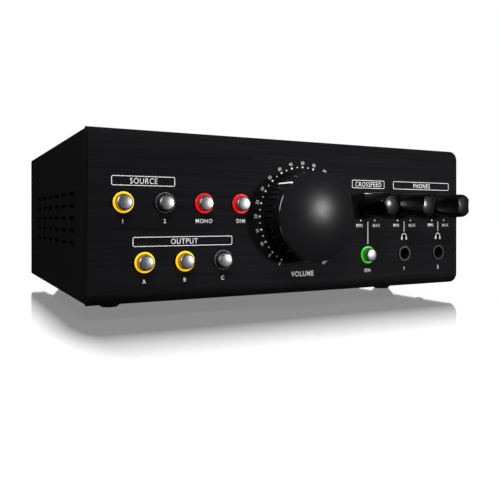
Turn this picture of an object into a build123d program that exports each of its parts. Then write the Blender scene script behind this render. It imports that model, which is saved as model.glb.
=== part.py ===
# Studio monitor controller: a desk-top box with source and output push-buttons,
# a large volume knob, three small knobs and two headphone sockets on its front.
#
# Millimetres. +X is to the right as seen from the front, the front faces -Y, +Z is up.
# The origin is the middle of the footprint, on the surface that the feet stand on.
#
# Places are given as x from the middle, depth behind the front face (negative is proud
# of it), and height above the underside of the case.
import os
from math import acos, asin, atan, cos, hypot, radians, sin, sqrt

from build123d import *

# ---------------------------------------------------------------- driving dimensions
# case
case_w = 213.5
case_h = 77.0
case_d = 170.0
sheet_gap = 0.3             # between sheets that slide together
seat_gap = 0.02             # between pieces that are pushed or screwed together
over = 1.0                  # how far a cutter runs past a face, or a joined shape into its wall

# front panel, an aluminium extrusion
panel_d = 6.0               # depth of its ends
panel_wall = 3.0            # behind the controls
panel_edge_r = 6.0          # rounding of its top and bottom front edges
panel_rim_side = 9.0
panel_rim_flat = 10.0       # solid rim along the top and bottom
panel_pocket_r = 1.5

# cover: top and both sides from one sheet, with a lip turned in under each side
cover_t = 1.5
cover_bend_r = 1.6          # outside
lip_w = 9.0

# vent slots in the sides
vent_rows = 5
vent_columns = 6
vent_row_pitch = 5.8
vent_column_pitch = 19.9
vent_l = 12.0
vent_h = 2.0
vent_first_d = 33.9
vent_mid_z = 37.5

# base tray
tray_t = 1.5
tray_bend_r = 3.0           # outside
tray_flange_h = 12.0
tray_end_h = 8.9            # front and rear flanges
cheek_l = 22.0              # tall front end of each side flange
cheek_tab_w = 11.0
cheek_tab_h = 11.0
cheek_gap = 1.0             # below the cover's upper bends

# rear panel
rear_t = 1.5
rear_recess = 4.0           # outer face to the cover's rear edge
rear_lip_l = 4.0
rear_bend_r = 3.0
rear_corner_r = 2.0

# feet
foot_h = 6.2                # below the case
foot_floor_r = 4.75
foot_top_r = 9.5
foot_edge_r = 0.6
foot_inset_x = 20.0
foot_front_d = 42.4
foot_rear_inset = 24.0
foot_head_depth = 2.8       # from the floor up to the screw's head seat
foot_head_gap = 0.4

# screws
screw_r = 1.5
screw_head_r = 2.75
screw_head_h = 1.6
screw_drive_r = 0.9
screw_drive_depth = 1.0
screw_hole_gap = 0.2        # round a screw in a plain hole
screw_end = 1.0             # beyond the sheet that it is threaded in
panel_screw_bite = 4.0
panel_screw_inset = 8.3     # from the case's side to the tab screws
panel_screw_x = 72.0
end_screw_z = 7.4           # from the case's underside or top to flange and tab screws
rear_screw_inset = 12.0
cover_screw_inset = 6.2     # from the case's side
cover_screw_end = 24.0      # from the front and rear ends of the case
board_screw_bite = 4.0

# boards
board_t = 1.6
board_margin = 8.0          # main board to the case's side
board_lift = 6.0            # standoff height
board_front_d = 27.0
board_rear_gap = 3.0
board_screw_inset = 6.0     # from the board's sides
board_screw_front = 11.0    # from its front edge
standoff_r = 2.75
control_d = 14.0            # front face of the control board
control_margin = 9.0
control_half_h = 27.0
spacer_r = 3.0
spacer_side = 12.0          # from the outer button of the lower row
spacer_edge = 2.0           # from the control board's top and bottom edges

# buttons, their light rings and switches
button_pitch = 19.0
first_button_inset = 15.2
row_1_z = 44.5
row_2_z = 18.2
cap_r = 3.45
cap_proud = 3.8
cap_back_d = 2.0
cap_dome = 0.4
cap_edge_r = 0.9
cap_travel = 2.2
stem_r = 1.8
stem_l = 7.0
running_gap = 0.06          # round everything that slides or turns
ring_r = 4.6
ring_wall = 0.8
ring_proud = 0.4
ring_edge_r = 0.25
ring_collar_r = 5.4
ring_collar_t = 1.2
hole_gap = 0.05             # round a fixed piece in its panel hole
switch_w = 12.0
switch_front_d = 4.6
switch_edge = 0.6
stem_spare = 0.6            # below the stem when it is pressed in

# volume knob and its potentiometer
knob_r = 21.9
knob_h = 14.0
knob_gap = 0.8              # knob to panel
knob_dome = 1.8
knob_edge_r = 1.3
crown_flat_r = 0.1          # in the middle of every dome
skirt_end = 7.5
rib_count = 48
rib_cut_r = 0.6
rib_depth = 0.45
knob_turn = -43.0           # pointer at rest, clockwise from the top
knob_wall = 3.0
knob_roof = 3.0
hub_r = 7.0
pot_w = 25.0
pot_bushing_r = 4.5
pot_bushing_proud = 5.0
pot_nut_r = 6.6
pot_nut_t = 2.2
bushing_room = 0.6          # between a bushing's end and the knob's hub
shaft_r = 3.0
shaft_end = 12.0            # from the front face
shaft_tail = 6.0            # inside the potentiometer
shaft_flat = 1.0            # cut off the round
shaft_spare = 0.6           # behind the shaft's tail
pointer_w = 1.1
pointer_t = 0.4
pointer_sink = 0.05         # the line's face below the knob's side

# small knobs and their potentiometers
small_pitch = 25.3
small_inset = 14.8
small_base_r = 7.0
small_front_r = 6.15
small_h = 18.4
small_gap = 0.6
small_dome = 0.6
small_edge_r = 1.8
scoop_r = 9.0
scoop_waist = 3.6           # half width that the scoops leave at the front
scoop_start = 4.0
small_turns = (-25.0, 12.0, 0.0)
small_shaft_end = 12.0
small_pot_w = 11.0
small_bushing_r = 3.6
small_bushing_proud = 4.0
small_nut_r = 5.0
small_nut_t = 1.8
small_wall = 1.6
small_front_sink = 2.0      # its slot deepens to the front

# 6.35 mm sockets
plug_bore_r = 3.25
plug_depth = 31.0
phones_nose_r = 4.15
phones_nose_proud = 0.6
phones_body_w = 11.0
phones_body_h = 14.0
phones_slot_gap = 0.4       # round its body in the control board
jack_nose_r = 4.5
jack_nose_proud = 4.0       # from the rear panel's inner face
jack_nut_r = 6.4
jack_nut_t = 2.0
jack_body_w = 15.6
jack_back_wall = 2.5
jack_pitch_x = 21.0
jack_pitch_z = 20.0
jack_low_z = 8.0            # lower bore above the board
jack_top_wall = 7.6
jack_stacks = 5
jack_first_x = -85.0        # from the middle of the case

# other rear fittings
cutout_gap = 0.2
jack_usb_pitch = 23.0       # from the last pair of sockets
usb_w = 12.0
usb_h = 10.9
usb_l = 16.5
usb_mouth_w = 8.45
usb_mouth_h = 7.8
usb_mouth_l = 12.0
usb_tongue_w = 5.6
usb_tongue_h = 3.2
usb_tongue_back = 1.0
usb_proud = 0.5
usb_inlet_pitch = 24.0
inlet_w = 9.4
inlet_h = 11.0
inlet_l = 14.0
inlet_axis_z = 5.8
inlet_nose_r = 4.4
inlet_nose_l = 2.0
inlet_bore_r = 2.8
inlet_bore_l = 9.5
inlet_pin_r = 1.0
inlet_power_pitch = 32.0
rocker_w = 9.6
rocker_half_h = 7.6
rocker_face = 3.6           # pivot to the ends of its face
rocker_hollow_h = 1.0       # of the face at the middle
rocker_foot_half = 3.5
rocker_foot = 4.5
rocker_tilt = 8.0
rocker_pin_r = 1.2
rocker_pin_bite = 1.0
rocker_gap = 0.4
rocker_depth = 1.5          # pivot behind the panel's outer face
power_body_w = 14.0
power_body_h = 19.6
power_body_l = 14.0
power_bezel_lip = 1.2
power_bezel_t = 2.0

# parts on the main board
relay_count = 6
relay_w = 7.5
relay_l = 15.0
relay_h = 10.0
relay_pitch = 21.0
relay_jack_gap = 9.5        # from the relays to the sockets behind them
chip_w = 8.0
chip_l = 5.0
chip_h = 1.8
chip_rows = 2
chip_columns = 6
chip_d = 72.0
chip_pitch = 17.0
can_r = 5.0
can_h = 14.0
can_count = 5
can_pitch = 13.0
can_d = 98.0
can_inset = 12.75           # from the board's side to the last of them
sink_w = 36.0
sink_l = 16.0
sink_h = 20.0
sink_fins = 7
sink_base = 3.0
sink_fin_t = 1.6
sink_inset = 38.75          # from the board's side to its middle
sink_d = 62.0
ribbon_w = 20.0
ribbon_t = 0.9
ribbon_x = -40.0
ribbon_z = 40.0
ribbon_d = 38.0
ribbon_bend_r = 10.0
header_w = 24.0
header_h = 7.0
header_l = 6.0

# ---------------------------------------------------------------- derived places
front_reach = max(small_h + small_dome, knob_h + knob_dome)
front_y = front_reach - (front_reach + case_d) / 2
under_z = foot_h
half_w = case_w / 2
mid_z = case_h / 2
inner_half = half_w - cover_t
inside_top = case_h - cover_t
tray_half = inner_half - sheet_gap
tray_top = cover_t + tray_t
rear_d = case_d - rear_recess           # outer face of the rear panel
rear_inner_d = rear_d - rear_t
board_z = tray_top + board_lift
board_top = board_z + board_t
board_half = half_w - board_margin
board_back_d = rear_inner_d - board_rear_gap
control_half = half_w - control_margin
control_back_d = control_d + board_t
flange_d = panel_d + seat_gap           # front face of the tray's front flange
stem_end_d = cap_back_d + stem_l
jack_mouth_d = rear_inner_d + jack_nose_proud
jack_back_d = jack_mouth_d - plug_depth - jack_back_wall
cheek_top = case_h - cover_bend_r - cheek_gap

row_1_x = [-half_w + first_button_inset + button_pitch * i for i in range(4)]
row_2_x = [row_1_x[0] + button_pitch * (i + 0.5) for i in range(3)]
small_x = [half_w - small_inset - small_pitch * i for i in (2, 1, 0)]
small_name = ["crossfeed", "phones_1", "phones_2"]
between_phones = (small_x[1] + small_x[2]) / 2
button_place = {
    "source_1": (row_1_x[0], row_1_z),
    "source_2": (row_1_x[1], row_1_z),
    "mono": (row_1_x[2], row_1_z),
    "dim": (row_1_x[3], row_1_z),
    "output_a": (row_2_x[0], row_2_z),
    "output_b": (row_2_x[1], row_2_z),
    "output_c": (row_2_x[2], row_2_z),
    "crossfeed_on": (small_x[0], row_2_z),
}
ring_group = {
    "amber_light_rings": ["source_1", "output_a", "output_b"],
    "red_light_rings": ["mono", "dim"],
    "green_light_ring": ["crossfeed_on"],
    "unlit_light_rings": ["source_2", "output_c"],
}
phones_place = [(small_x[1], row_2_z), (small_x[2], row_2_z)]
jack_x = [jack_first_x + jack_pitch_x * i for i in range(jack_stacks)]
usb_x = jack_x[-1] + jack_usb_pitch
inlet_x = usb_x + usb_inlet_pitch
power_x = inlet_x + inlet_power_pitch
jack_low = board_top + jack_low_z
jack_high = jack_low + jack_pitch_z
sink_x = board_half - sink_inset
relay_d = jack_back_d - relay_jack_gap - relay_l / 2
spacer_high = mid_z + control_half_h - spacer_r - spacer_edge
spacer_low = mid_z - control_half_h + spacer_r + spacer_edge
spacer_place = [
    ((row_1_x[0] + row_1_x[1]) / 2, spacer_high),
    (row_2_x[0] - spacer_side, spacer_low),
    (row_1_x[3] + button_pitch / 2, spacer_high),
    (small_x[0] - small_pot_w - spacer_r, spacer_high),
    (small_x[0] - small_pot_w - spacer_r, spacer_low),
    (between_phones, spacer_high),
    (between_phones, spacer_low),
]
tab_screw_z = case_h - end_screw_z
flange_screw_place = [(-panel_screw_x, end_screw_z), (panel_screw_x, end_screw_z)]
tab_screw_place = [
    (-half_w + panel_screw_inset, tab_screw_z),
    (half_w - panel_screw_inset, tab_screw_z),
]
panel_screw_place = flange_screw_place + tab_screw_place
rear_screw_place = [
    (-half_w + rear_screw_inset, end_screw_z),
    ((usb_x + inlet_x) / 2, end_screw_z),
    (half_w - rear_screw_inset, end_screw_z),
]
foot_d = (foot_front_d, case_d - foot_rear_inset)
foot_place = {
    "foot_front_left": (-half_w + foot_inset_x, foot_d[0]),
    "foot_front_right": (half_w - foot_inset_x, foot_d[0]),
    "foot_rear_left": (-half_w + foot_inset_x, foot_d[1]),
    "foot_rear_right": (half_w - foot_inset_x, foot_d[1]),
}
cover_screw_place = [
    (side * (half_w - cover_screw_inset), d)
    for side in (-1, 1)
    for d in (cover_screw_end, case_d / 2, case_d - cover_screw_end)
]
standoff_row_d = (board_front_d + board_screw_front, case_d / 2, jack_back_d - board_screw_inset)
standoff_place = [
    (side * (board_half - board_screw_inset), d) for side in (-1, 1) for d in standoff_row_d
]
on_floor = (Align.CENTER, Align.CENTER, Align.MIN)
from_corner = (Align.MIN, Align.MIN, Align.MIN)
nodes = {}


# ---------------------------------------------------------------- shared shapes
def block(x0, x1, d0, d1, z0, z1):
    """A box between two x, two depths and two heights above the underside."""
    size = (x1 - x0, d1 - d0, z1 - z0)
    return Pos(x0, front_y + d0, under_z + z0) * Box(*size, align=from_corner)


def post(x, d, z0, z1, r):
    """An upright cylinder."""
    return Pos(x, front_y + d, under_z + z0) * Cylinder(r, z1 - z0, align=on_floor)


def rod(r, z0, z1):
    return Pos(0, 0, z0) * Cylinder(r, z1 - z0, align=on_floor)


def slab(w, h, z0, z1):
    return Pos(0, 0, z0) * Box(w, h, z1 - z0, align=on_floor)


def on_front(shape, x, z, turn=0.0):
    """Places a shape whose own +Z points out of the front face and whose +Y is up."""
    return Pos(x, front_y, under_z + z) * Rot(90, 0, 0) * Rot(0, 0, -turn) * shape


def on_rear(shape, x, z):
    """Places a shape whose own +Z points out of the rear panel's outer face."""
    return Pos(x, front_y + rear_d, under_z + z) * Rot(0, 0, 180) * Rot(90, 0, 0) * shape


def together(shapes):
    """Separate solids of one node."""
    return Compound(children=[solid for shape in shapes for solid in shape.solids()])


def sheet_along_y(points, t, bend_r, d0, d1):
    """A folded sheet drawn from one depth to another; its points (x, z) are mid-sheet."""
    line = FilletPolyline(*[(x, under_z + z) for x, z in points], radius=bend_r - t / 2)
    return extrude(Plane.XZ.offset(-(front_y + d1)) * trace(line, t), d1 - d0)


def sheet_along_x(points, t, bend_r, x0, x1):
    """A folded sheet drawn from one x to another; its points (d, z) are mid-sheet."""
    line = FilletPolyline(*[(front_y + d, under_z + z) for d, z in points],
                          radius=bend_r - t / 2)
    return extrude(Plane.YZ.offset(x0) * trace(line, t), x1 - x0)


def sheet_along_z(points, t, bend_r, z0, z1):
    """A folded sheet drawn from one height to another; its points (x, d) are mid-sheet."""
    line = FilletPolyline(*[(x, front_y + d) for x, d in points], radius=bend_r - t / 2)
    return extrude(Plane.XY.offset(under_z + z0) * trace(line, t), z1 - z0)


def dome_sphere(r, rise):
    """The radius of a dome's sphere, and how far its middle lies below the dome's foot."""
    drop = (r**2 - crown_flat_r**2 - rise**2) / (2 * rise)
    return hypot(r, drop), drop


def dome(r, z, rise):
    """A dome on a circle of radius r at height z, with a small flat at its crown."""
    sphere_r, drop = dome_sphere(r, rise)
    half = (asin(r / sphere_r) + asin(crown_flat_r / sphere_r)) / 2
    middle = (sphere_r * sin(half), z - drop + sphere_r * cos(half))
    crown = (crown_flat_r, z + rise)
    return [ThreePointArc((r, z), middle, crown), Line(crown, (0, z + rise))]


def rounded_dome(r, z, rise, edge_r):
    """The same with its edge rounded into the side, and the height where the side ends."""
    sphere_r, drop = dome_sphere(r, rise)
    inner = r - edge_r
    up = sqrt((sphere_r - edge_r)**2 - inner**2)
    side_end = z - drop + up
    lean = atan(up / inner)
    touch = (sphere_r * cos(lean), z - drop + sphere_r * sin(lean))
    bow = (inner + edge_r * cos(lean / 2), side_end + edge_r * sin(lean / 2))
    half = (lean + acos(crown_flat_r / sphere_r)) / 2
    middle = (sphere_r * cos(half), z - drop + sphere_r * sin(half))
    crown = (crown_flat_r, z + rise)
    edges = [ThreePointArc((r, side_end), bow, touch), ThreePointArc(touch, middle, crown),
             Line(crown, (0, z + rise))]
    return side_end, edges


def edge_arc(r, z, edge_r):
    """A quarter round from a side at radius r to a face at height z."""
    start = (r, z - edge_r)
    end = (r - edge_r, z)
    bow = edge_r * sin(radians(45))
    return ThreePointArc(start, (r - edge_r + bow, z - edge_r + bow), end)


def turned(*edges):
    """Revolves a closed outline of edges, drawn as radius and height."""
    return revolve(Plane.XZ * make_face(Curve() + list(edges)), Axis.Z)


def pan_screw(length):
    """A screw whose head sits on z = 0 and whose shank reaches down."""
    head = turned(
        Line((0, 0), (screw_head_r, 0)),
        Line((screw_head_r, 0), (screw_head_r, screw_head_h / 2)),
        *dome(screw_head_r, screw_head_h / 2, screw_head_h / 2),
        Line((0, screw_head_h), (0, 0)),
    )
    drive = extrude(Pos(0, 0, screw_head_h - screw_drive_depth) *
                    RegularPolygon(screw_drive_r, 6), screw_head_h)
    return head + rod(screw_r, -length, 0) - drive


def hex_nut(r, z0, t, bore_r):
    return extrude(Pos(0, 0, z0) * RegularPolygon(r, 6), t) - rod(bore_r, z0 - over, z0 + t + over)


# ---------------------------------------------------------------- case
def front_panel():
    profile = Pos(front_y + 2 * panel_d, under_z + mid_z) * RectangleRounded(
        4 * panel_d, case_h, panel_edge_r)
    panel = extrude(Plane.YZ.offset(-half_w) * profile, case_w)
    panel = panel & block(-half_w, half_w, 0, panel_d, 0, case_h)
    pocket = RectangleRounded(case_w - 2 * panel_rim_side, case_h - 2 * panel_rim_flat,
                              panel_pocket_r)
    pocket_solid = extrude(Pos(0, 0, -panel_d - over) * pocket, panel_d - panel_wall + over)
    panel = panel - on_front(pocket_solid, 0, mid_z)
    through = (-panel_wall - over, over)
    for x, z in button_place.values():
        panel = panel - on_front(rod(ring_r + hole_gap, *through), x, z)
    for x in small_x:
        panel = panel - on_front(rod(small_bushing_r + hole_gap, *through), x, row_1_z)
    for x, z in phones_place:
        panel = panel - on_front(rod(phones_nose_r + hole_gap, *through), x, z)
    panel = panel - on_front(rod(pot_bushing_r + hole_gap, *through), 0, mid_z)
    for x, z in panel_screw_place:
        bite = rod(screw_r + seat_gap, -panel_d - over, -panel_d + panel_screw_bite)
        panel = panel - on_front(bite, x, z)
    return panel


def top_cover():
    edge = half_w - cover_t / 2
    top = case_h - cover_t / 2
    lip_end = half_w - lip_w
    line = [(-lip_end, cover_t / 2), (-edge, cover_t / 2), (-edge, top),
            (edge, top), (edge, cover_t / 2), (lip_end, cover_t / 2)]
    cover = sheet_along_y(line, cover_t, cover_bend_r, panel_d + seat_gap, case_d)
    slots = Sketch()
    for row in range(vent_rows):
        for column in range(vent_columns):
            d = vent_first_d + vent_column_pitch * column
            z = vent_mid_z + vent_row_pitch * (row - (vent_rows - 1) / 2)
            slots += Pos(front_y + d, under_z + z) * SlotOverall(vent_l, vent_h)
    cover = cover - extrude(Plane.YZ.offset(-half_w - over) * slots, case_w + 2 * over)
    for x, d in cover_screw_place:
        cover = cover - post(x, d, -over, cover_t + screw_hole_gap, screw_r + screw_hole_gap)
    return cover


def base_tray():
    edge = tray_half - tray_t / 2
    mid = cover_t + tray_t / 2
    flange_top = cover_t + tray_flange_h
    end_top = cover_t + tray_end_h
    back = rear_inner_d - seat_gap
    bend = tray_bend_r
    front_mid = flange_d + tray_t / 2
    trough = sheet_along_y([(-edge, flange_top), (-edge, mid), (edge, mid), (edge, flange_top)],
                           tray_t, bend, flange_d + bend, back - bend)
    ends = sheet_along_x([(front_mid, end_top), (front_mid, mid),
                          (back - tray_t / 2, mid), (back - tray_t / 2, end_top)],
                         tray_t, bend, -edge + bend, edge - bend)
    tray = trough + ends
    for side in (-1, 1):
        inner = side * (tray_half - tray_t)
        outer = side * tray_half
        x0, x1 = min(inner, outer), max(inner, outer)
        tray = tray + block(x0, x1, flange_d + bend, flange_d + cheek_l,
                            flange_top - over, cheek_top)
        tab = sheet_along_z([(side * (tray_half - cheek_tab_w), front_mid),
                             (side * edge, front_mid), (side * edge, flange_d + cheek_l)],
                            tray_t, bend, cheek_top - cheek_tab_h, cheek_top)
        tray = tray + tab
    for x, z in panel_screw_place:
        hole = rod(screw_r + screw_hole_gap, -flange_d - tray_t - over, -flange_d + over)
        tray = tray - on_front(hole, x, z)
    for x, d in cover_screw_place:
        tray = tray - post(x, d, cover_t - over, tray_top + over, screw_r + seat_gap)
    for x, d in foot_place.values():
        tray = tray - post(x, d, cover_t - over, tray_top + over, screw_r + seat_gap)
    for x, z in rear_screw_place:
        hole = rod(screw_r + seat_gap, -rear_t - tray_t - over, 0)
        tray = tray - on_rear(hole, x, z)
    return tray


def rear_panel():
    half = inner_half - sheet_gap
    bottom = cover_t + sheet_gap
    top = inside_top - sheet_gap
    mid = rear_d - rear_t / 2
    panel = sheet_along_x([(mid, bottom), (mid, top - rear_t / 2),
                           (rear_d - rear_lip_l, top - rear_t / 2)],
                          rear_t, rear_bend_r, -half, half)
    outline = Pos(0, under_z + (bottom + top) / 2) * RectangleRounded(
        2 * half, top - bottom, rear_corner_r)
    panel = panel & extrude(Plane.XZ.offset(-(front_y + rear_d)) * outline, rear_lip_l + over)
    through = (-rear_t - over, over)
    for x in jack_x:
        for z in (jack_low, jack_high):
            panel = panel - on_rear(rod(jack_nose_r + screw_hole_gap, *through), x, z)
    usb_hole = slab(usb_w + 2 * cutout_gap, usb_h + 2 * cutout_gap, *through)
    panel = panel - on_rear(usb_hole, usb_x, board_top + usb_h / 2)
    inlet_hole = rod(inlet_nose_r + cutout_gap, *through)
    panel = panel - on_rear(inlet_hole, inlet_x, board_top + inlet_axis_z)
    power_hole = slab(power_body_w + 2 * cutout_gap, power_body_h + 2 * cutout_gap, *through)
    panel = panel - on_rear(power_hole, power_x, mid_z)
    for x, z in rear_screw_place:
        panel = panel - on_rear(rod(screw_r + screw_hole_gap, *through), x, z)
    return panel


def foot(x, d):
    """A cone with a flat disc on top that fills the step between cover and tray."""
    body = turned(
        Line((0, -foot_h), (foot_floor_r - foot_edge_r, -foot_h)),
        Line((foot_floor_r - foot_edge_r, -foot_h), (foot_floor_r, foot_edge_r - foot_h)),
        Line((foot_floor_r, foot_edge_r - foot_h), (foot_top_r, 0)),
        Line((foot_top_r, 0), (foot_top_r, cover_t)),
        Line((foot_top_r, cover_t), (0, cover_t)),
        Line((0, cover_t), (0, -foot_h)),
    )
    body = body - rod(screw_head_r + foot_head_gap, -foot_h - over, foot_head_depth - foot_h)
    body = body - rod(screw_r + screw_hole_gap, -foot_h, cover_t + over)
    return Pos(x, front_y + d, under_z) * body


def case_screws():
    nodes["front_panel_screws"] = together([
        Pos(x, front_y + flange_d + tray_t, under_z + z) * Rot(-90, 0, 0)
        * pan_screw(tray_t + panel_screw_bite)
        for x, z in panel_screw_place])
    nodes["rear_panel_screws"] = together([
        on_rear(pan_screw(rear_t + tray_t + screw_end), x, z) for x, z in rear_screw_place])
    nodes["cover_screws"] = together([
        Pos(x, front_y + d, under_z) * Rot(180, 0, 0) * pan_screw(tray_top + screw_end)
        for x, d in cover_screw_place])
    foot_shank = foot_h - foot_head_depth + tray_top + screw_end
    nodes["foot_screws"] = together([
        Pos(x, front_y + d, foot_head_depth) * Rot(180, 0, 0) * pan_screw(foot_shank)
        for x, d in foot_place.values()])


# ---------------------------------------------------------------- boards
def main_board():
    board = block(-board_half, board_half, board_front_d, board_back_d, board_z, board_top)
    for x, d in standoff_place:
        board = board - post(x, d, board_z - over, board_top + over, screw_r + screw_hole_gap)
    return board


def board_fixings():
    standoffs = []
    screws = []
    for x, d in standoff_place:
        hexagon = extrude(Pos(x, front_y + d, under_z + tray_top) *
                          RegularPolygon(standoff_r, 6), board_lift)
        bore = post(x, d, board_z - board_screw_bite, board_z + over, screw_r + seat_gap)
        standoffs.append(hexagon - bore)
        screw = pan_screw(board_t + board_screw_bite - screw_end)
        screws.append(Pos(x, front_y + d, under_z + board_top) * screw)
    nodes["board_standoffs"] = together(standoffs)
    nodes["board_screws"] = together(screws)


def control_board():
    board = block(-control_half, control_half, control_d, control_back_d,
                  mid_z - control_half_h, mid_z + control_half_h)
    for x, z in phones_place:
        slot_w = phones_body_w + 2 * phones_slot_gap
        slot = slab(slot_w, phones_body_h + 2 * phones_slot_gap, -control_back_d - over, 0)
        board = board - on_front(slot, x, z)
    for x, z in spacer_place:
        hole = rod(screw_r + screw_hole_gap, -control_back_d - over, -control_d + over)
        board = board - on_front(hole, x, z)
    return board


def control_fixings():
    spacers = []
    screws = []
    for x, z in spacer_place:
        spacer = rod(spacer_r, -control_d, -panel_wall)
        bore = rod(screw_r + seat_gap, -control_d - over, -control_d + board_screw_bite)
        spacers.append(on_front(spacer - bore, x, z))
        screw = pan_screw(board_t + board_screw_bite - screw_end)
        screws.append(Pos(x, front_y + control_back_d, under_z + z) * Rot(-90, 0, 0) * screw)
    nodes["control_board_spacers"] = together(spacers)
    nodes["control_board_screws"] = together(screws)


def board_parts():
    z = board_top
    relays = []
    for i in range(relay_count):
        x = jack_x[0] + relay_pitch * i
        relays.append(block(x - relay_w / 2, x + relay_w / 2,
                            relay_d - relay_l / 2, relay_d + relay_l / 2, z, z + relay_h))
    nodes["relays"] = together(relays)
    chips = []
    for row in range(chip_rows):
        for column in range(chip_columns):
            x = jack_x[0] + chip_pitch * column
            d = chip_d + chip_pitch * row
            chips.append(block(x - chip_w / 2, x + chip_w / 2,
                               d - chip_l / 2, d + chip_l / 2, z, z + chip_h))
    nodes["amplifier_chips"] = together(chips)
    nodes["capacitors"] = together([
        post(board_half - can_inset - can_pitch * i, can_d, z, z + can_h, can_r)
        for i in range(can_count)])
    sink = block(sink_x - sink_w / 2, sink_x + sink_w / 2,
                 sink_d - sink_l / 2, sink_d + sink_l / 2, z, z + sink_h)
    bay = (sink_w - sink_fins * sink_fin_t) / (sink_fins - 1)
    for i in range(sink_fins - 1):
        x = sink_x - sink_w / 2 + sink_fin_t + i * (bay + sink_fin_t)
        sink = sink - block(x, x + bay, sink_d - sink_l / 2 + sink_base,
                            sink_d + sink_l / 2 + over, z - over, z + sink_h + over)
    nodes["heat_sink"] = sink


def ribbon():
    """The flat cable between the boards, with a header at each end."""
    header_back_d = control_back_d + header_l
    upper = block(ribbon_x - header_w / 2, ribbon_x + header_w / 2, control_back_d,
                  header_back_d, ribbon_z - header_h / 2, ribbon_z + header_h / 2)
    lower = block(ribbon_x - header_w / 2, ribbon_x + header_w / 2, ribbon_d - header_l / 2,
                  ribbon_d + header_l / 2, board_top, board_top + header_h)
    nodes["ribbon_headers"] = together([upper, lower])
    path = [(header_back_d, ribbon_z), (ribbon_d, ribbon_z), (ribbon_d, board_top + header_h)]
    nodes["ribbon_cable"] = sheet_along_x(path, ribbon_t, ribbon_bend_r + ribbon_t / 2,
                                          ribbon_x - ribbon_w / 2, ribbon_x + ribbon_w / 2)


# ---------------------------------------------------------------- buttons
def button_cap():
    """A domed cap with its stem; it slides into the panel."""
    side_end, crown = rounded_dome(cap_r, cap_proud - cap_dome, cap_dome, cap_edge_r)
    return turned(
        Line((0, -stem_end_d), (stem_r, -stem_end_d)),
        Line((stem_r, -stem_end_d), (stem_r, -cap_back_d)),
        Line((stem_r, -cap_back_d), (cap_r, -cap_back_d)),
        Line((cap_r, -cap_back_d), (cap_r, side_end)),
        *crown,
        Line((0, cap_proud), (0, -stem_end_d)),
    )


def light_ring():
    """A clear tube through the panel, with a collar behind it."""
    back = -panel_wall - seat_gap
    inner = ring_r - ring_wall
    return turned(
        Line((inner, back - ring_collar_t), (ring_collar_r, back - ring_collar_t)),
        Line((ring_collar_r, back - ring_collar_t), (ring_collar_r, back)),
        Line((ring_collar_r, back), (ring_r, back)),
        Line((ring_r, back), (ring_r, ring_proud - ring_edge_r)),
        edge_arc(ring_r, ring_proud, ring_edge_r),
        Line((ring_r - ring_edge_r, ring_proud), (inner, ring_proud)),
        Line((inner, ring_proud), (inner, back - ring_collar_t)),
    )


def button_switch():
    """The switch behind a cap, on the control board, with a bore for the stem."""
    switch = slab(switch_w, switch_w, -control_d, -switch_front_d)
    switch = chamfer(switch.edges().filter_by(Axis.Z), switch_edge)
    bore_end = -stem_end_d - cap_travel - stem_spare
    return switch - rod(stem_r + running_gap, bore_end, 0)


def buttons():
    for name, (x, z) in button_place.items():
        nodes[name + "_cap"] = on_front(button_cap(), x, z)
    for group, names in ring_group.items():
        nodes[group] = together([on_front(light_ring(), *button_place[n]) for n in names])
    nodes["button_switches"] = together([
        on_front(button_switch(), x, z) for x, z in button_place.values()])


# ---------------------------------------------------------------- knobs
def shaft(end, proud):
    """A potentiometer's shaft, with a flat where the knob grips it."""
    flat_from = proud + bushing_room
    body = rod(shaft_r, -panel_wall - shaft_tail, end)
    return body - Pos(0, 2 * shaft_r - shaft_flat, 0) * slab(
        2 * shaft_r + over, 2 * shaft_r, flat_from, end + over)


def shaft_socket(end, proud):
    """What the shaft takes out of a knob's hub."""
    body = rod(shaft_r + seat_gap, proud + bushing_room - over, end + seat_gap)
    flat = Pos(0, 2 * shaft_r - shaft_flat + seat_gap, 0) * slab(
        2 * shaft_r + over, 2 * shaft_r, proud + bushing_room - 2 * over, end + over)
    return body - flat


def potentiometer(width, bushing_r, proud):
    body = slab(width, width, -control_d, -panel_wall - seat_gap)
    body = body + rod(bushing_r, -panel_wall - over, proud)
    return body - rod(shaft_r + running_gap, -panel_wall - shaft_tail - shaft_spare, proud + over)


def volume_shape():
    side_end, crown = rounded_dome(knob_r, knob_h, knob_dome, knob_edge_r)
    return turned(
        Line((0, knob_gap), (knob_r, knob_gap)),
        Line((knob_r, knob_gap), (knob_r, side_end)),
        *crown,
        Line((0, knob_h + knob_dome), (0, knob_gap)),
    )


def pointer_line(shape, rear_r, front_r, start, end):
    """The white line along a knob's side, and the slot it lies in."""
    low = ((rear_r - pointer_t, start), (front_r - pointer_t, end))
    edge = rear_r + over
    blades = []
    for high in (((front_r, end), (rear_r, start)), ((edge, end), (edge, start))):
        face = make_face(Polyline(*low, *high, close=True))
        blades.append(extrude(Plane.YZ.offset(-pointer_w / 2) * face, pointer_w))
    return blades[0] & shape, blades[1]


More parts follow.
